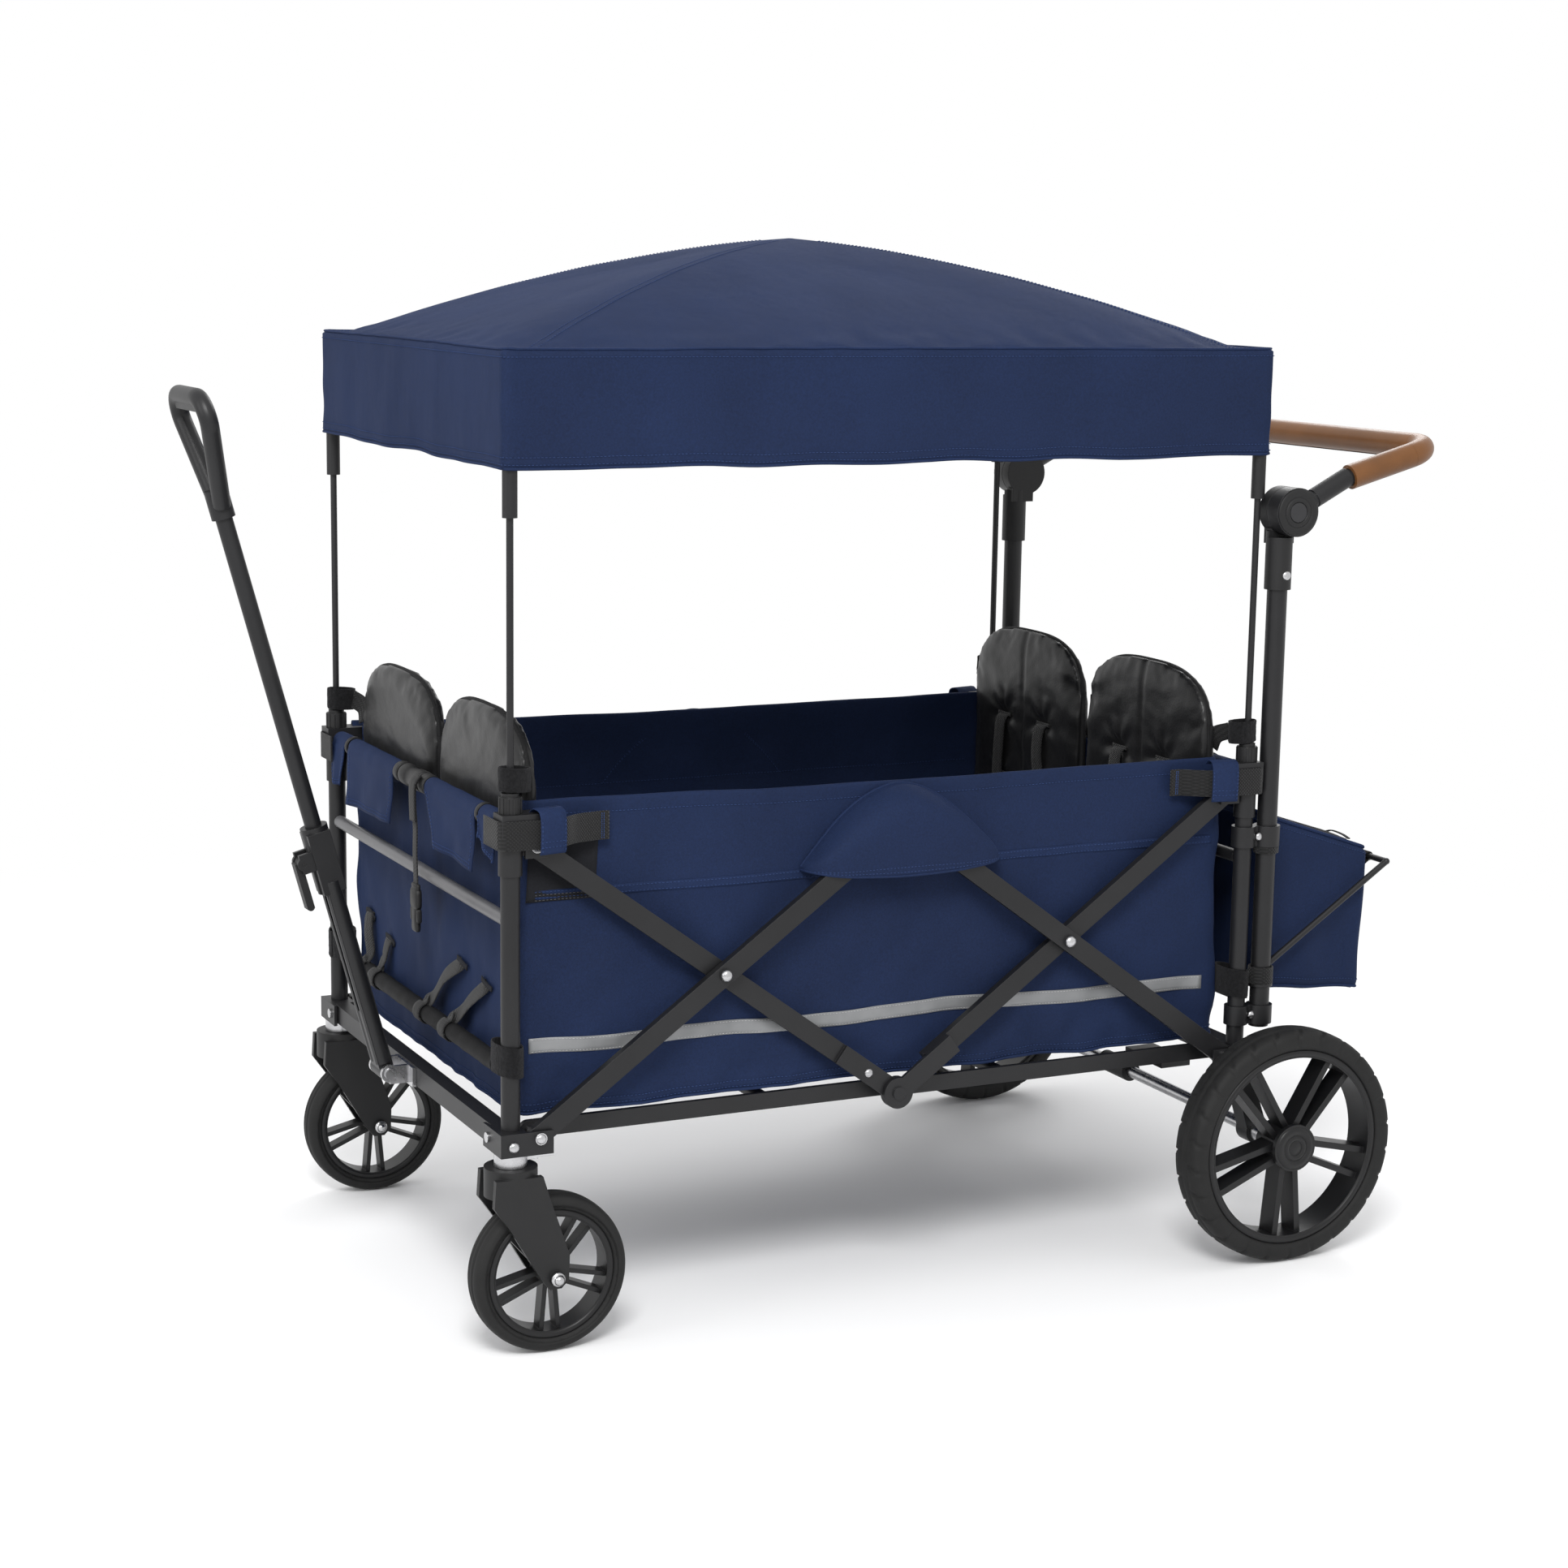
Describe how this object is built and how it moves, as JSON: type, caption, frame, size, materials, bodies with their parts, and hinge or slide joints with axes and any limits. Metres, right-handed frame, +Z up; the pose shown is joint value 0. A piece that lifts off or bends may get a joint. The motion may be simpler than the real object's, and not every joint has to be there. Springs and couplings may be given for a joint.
{
  "type": "folding pull wagon",
  "caption": "Folding fabric-sided wagon with scissor side frames, swivelling front casters, large rear wheels, a height-adjustable canopy, a pull handle and an angled push handle.",
  "frame": {"origin": "on the ground, midway between the four corner posts", "axes": "+Z up, +X towards the push handle end, -X towards the pull handle end, +Y to the pusher's right"},
  "size_m": [1.5151, 0.834, 1.257],
  "materials": {
    "frame_black": "matte powder coat",
    "rail_grey": "satin grey coat",
    "plastic_black": "matte moulded plastic",
    "button_grey": "satin moulded plastic",
    "rim_black": "satin moulded plastic",
    "tyre_black": "foamed rubber with a block tread",
    "bright_steel": "zinc-plated steel",
    "navy_fabric": "woven polyester",
    "pad_black": "padded satin coated fabric",
    "grip_tan": "stitched leather-look wrap"
  },
  "bodies": {
    "rear_frame": {"rear_posts": "frame_black", "rear_rails": "frame_black", "rear_brackets": "frame_black", "rear_legs": "frame_black", "rear_axle": "bright_steel", "push_posts": "frame_black", "push_clamps": "frame_black", "push_hinge_bases": "plastic_black", "rear_bag": "navy_fabric", "bag_hoop": "frame_black", "rear_pins": "bright_steel"},
    "front_frame": {"front_posts": "frame_black", "front_bottom_rail": "frame_black", "front_brackets": "frame_black", "front_cross_rails": "rail_grey", "caster_stems": "bright_steel", "pull_clevis": "bright_steel", "front_pins": "bright_steel"},
    "rear_top": {"rear_castings": "frame_black", "rear_top_rail": "frame_black", "rear_collars": "plastic_black", "rear_bolts": "bright_steel", "tub": "navy_fabric", "floor_pad": "pad_black", "rear_seatbacks": "pad_black"},
    "front_top": {"front_castings": "frame_black", "front_top_rail": "frame_black", "front_collars": "plastic_black", "front_bolts": "bright_steel", "front_seatbacks": "pad_black"},
    "bar_a": {"bars_a": "frame_black"},
    "bar_b": {"bars_b": "frame_black"},
    "bar_c": {"bars_c": "frame_black"},
    "bar_d": {"bars_d": "frame_black"},
    "rail_rear": {"lower_rails_rear": "frame_black"},
    "rail_front": {"lower_rails_front": "frame_black"},
    "rear_canopy_poles": {"rear_poles": "frame_black", "canopy": "navy_fabric", "canopy_ribs": "bright_steel"},
    "front_canopy_poles": {"front_poles": "frame_black"},
    "swivel_left": {"caster_left": "plastic_black"},
    "swivel_right": {"caster_right": "plastic_black"},
    "front_wheel_left": {"front_rim_left": "rim_black", "front_tyre_left": "tyre_black"},
    "front_wheel_right": {"front_rim_right": "rim_black", "front_tyre_right": "tyre_black"},
    "rear_wheel_left": {"rear_rim_left": "rim_black", "rear_tyre_left": "tyre_black"},
    "rear_wheel_right": {"rear_rim_right": "rim_black", "rear_tyre_right": "tyre_black"},
    "push_handle": {"push_tube": "frame_black", "push_grip": "grip_tan"},
    "button_left": {"push_button_left": "button_grey"},
    "button_right": {"push_button_right": "button_grey"},
    "pull_pole": {"pull_lower": "frame_black"},
    "pull_tube": {"pull_upper": "frame_black"},
    "pull_clamp_lever": {"pull_lever": "plastic_black"},
    "brake": {"brake_pedal": "plastic_black"},
    "tab_left": {"lock_tab_left": "bright_steel"},
    "tab_right": {"lock_tab_right": "bright_steel"}
  },
  "joints": [
    {"name": "fold", "type": "hinge", "parent": "rear_frame", "child": "bar_c", "pos_m": [0.458, 0, 0.256], "axis": [0, 1, 0], "range_deg": [0, 40], "deforming": ["tub", "floor_pad", "canopy", "canopy_ribs"]},
    {"name": "fold_bar_d", "type": "hinge", "parent": "bar_c", "child": "bar_d", "pos_m": [0.229, 0, 0.422], "axis": [0, 1, 0], "range_deg": [-80, 0]},
    {"name": "fold_rear_top", "type": "hinge", "parent": "bar_d", "child": "rear_top", "pos_m": [0.458, 0, 0.588], "axis": [0, 1, 0], "range_deg": [0, 40]},
    {"name": "fold_bar_b", "type": "hinge", "parent": "bar_c", "child": "bar_b", "pos_m": [0, 0, 0.588], "axis": [0, 1, 0], "range_deg": [-80, 0]},
    {"name": "fold_bar_a", "type": "hinge", "parent": "bar_b", "child": "bar_a", "pos_m": [-0.229, 0, 0.422], "axis": [0, 1, 0], "range_deg": [0, 80]},
    {"name": "fold_front_frame", "type": "hinge", "parent": "bar_b", "child": "front_frame", "pos_m": [-0.458, 0, 0.256], "axis": [0, 1, 0], "range_deg": [0, 40]},
    {"name": "fold_front_top", "type": "hinge", "parent": "bar_a", "child": "front_top", "pos_m": [-0.458, 0, 0.588], "axis": [0, 1, 0], "range_deg": [-40, 0]},
    {"name": "fold_rail_rear", "type": "hinge", "parent": "rear_frame", "child": "rail_rear", "pos_m": [0.458, 0, 0.256], "axis": [0, 1, 0], "range_deg": [0, 72.55]},
    {"name": "fold_rail_front", "type": "hinge", "parent": "front_frame", "child": "rail_front", "pos_m": [-0.458, 0, 0.256], "axis": [0, 1, 0], "range_deg": [-72.55, 0]},
    {"name": "canopy_height", "type": "slide", "parent": "rear_top", "child": "rear_canopy_poles", "axis": [0, 0, 1], "range_m": [-0.23, 0]},
    {"name": "canopy_height_front", "type": "slide", "parent": "front_top", "child": "front_canopy_poles", "axis": [0, 0, 1], "range_m": [-0.23, 0]},
    {"name": "caster_left_swivel", "type": "hinge", "parent": "front_frame", "child": "swivel_left", "pos_m": [-0.486, -0.322, 0.2], "axis": [0, 0, 1], "continuous": true},
    {"name": "caster_right_swivel", "type": "hinge", "parent": "front_frame", "child": "swivel_right", "pos_m": [-0.486, 0.322, 0.2], "axis": [0, 0, 1], "continuous": true},
    {"name": "front_left_spin", "type": "hinge", "parent": "swivel_left", "child": "front_wheel_left", "pos_m": [-0.442, -0.322, 0.0926], "axis": [0, 1, 0], "continuous": true},
    {"name": "front_right_spin", "type": "hinge", "parent": "swivel_right", "child": "front_wheel_right", "pos_m": [-0.442, 0.322, 0.0926], "axis": [0, 1, 0], "continuous": true},
    {"name": "rear_left_spin", "type": "hinge", "parent": "rear_frame", "child": "rear_wheel_left", "pos_m": [0.519, -0.365, 0.1487], "axis": [0, 1, 0], "continuous": true},
    {"name": "rear_right_spin", "type": "hinge", "parent": "rear_frame", "child": "rear_wheel_right", "pos_m": [0.519, 0.365, 0.1487], "axis": [0, 1, 0], "continuous": true},
    {"name": "push_handle_angle", "type": "hinge", "parent": "rear_frame", "child": "push_handle", "pos_m": [0.527, 0, 0.936], "axis": [0, -1, 0], "range_deg": [-60, 60]},
    {"name": "push_button_left", "type": "slide", "parent": "push_handle", "child": "button_left", "axis": [0, 1, 0], "range_m": [0, 0.0024], "stiffness_N_per_m": 600, "springref_m": -0.001},
    {"name": "push_button_right", "type": "slide", "parent": "push_handle", "child": "button_right", "axis": [0, -1, 0], "range_m": [0, 0.0024], "stiffness_N_per_m": 600, "springref_m": -0.001},
    {"name": "pull_handle", "type": "hinge", "parent": "front_frame", "child": "pull_pole", "pos_m": [-0.53, 0, 0.256], "axis": [0, -1, 0], "range_deg": [-13, 62], "stiffness_Nm_per_rad": 6, "springref_deg": -12.03},
    {"name": "pull_telescope", "type": "slide", "parent": "pull_pole", "child": "pull_tube", "axis": [-0.2656, 0, 0.9641], "range_m": [-0.18, 0]},
    {"name": "pull_clamp", "type": "hinge", "parent": "pull_pole", "child": "pull_clamp_lever", "pos_m": [-0.62942, 0, 0.51904], "axis": [0, 1, 0], "range_deg": [0, 80]},
    {"name": "brake_press", "type": "hinge", "parent": "rear_frame", "child": "brake", "pos_m": [0.519, 0, 0.1487], "axis": [0, 1, 0], "range_deg": [0, 14]},
    {"name": "lock_tab_left", "type": "hinge", "parent": "front_frame", "child": "tab_left", "pos_m": [-0.46, -0.322, 0.232], "axis": [0, -1, 0], "range_deg": [0, 28]},
    {"name": "lock_tab_right", "type": "hinge", "parent": "front_frame", "child": "tab_right", "pos_m": [-0.46, 0.322, 0.232], "axis": [0, -1, 0], "range_deg": [0, 28]}
  ],
  "couplings": [
    {"joint": "fold_bar_d", "follows": "fold", "ratio": -2},
    {"joint": "fold_rear_top", "follows": "fold", "ratio": 1},
    {"joint": "fold_bar_b", "follows": "fold", "ratio": -2},
    {"joint": "fold_bar_a", "follows": "fold", "ratio": 2},
    {"joint": "fold_front_frame", "follows": "fold", "ratio": 1},
    {"joint": "fold_front_top", "follows": "fold", "ratio": -1},
    {"joint": "fold_rail_rear", "follows": "fold", "ratio": 1.8134},
    {"joint": "fold_rail_front", "follows": "fold", "ratio": -1.8134},
    {"joint": "canopy_height_front", "follows": "canopy_height", "ratio": 1}
  ]
}
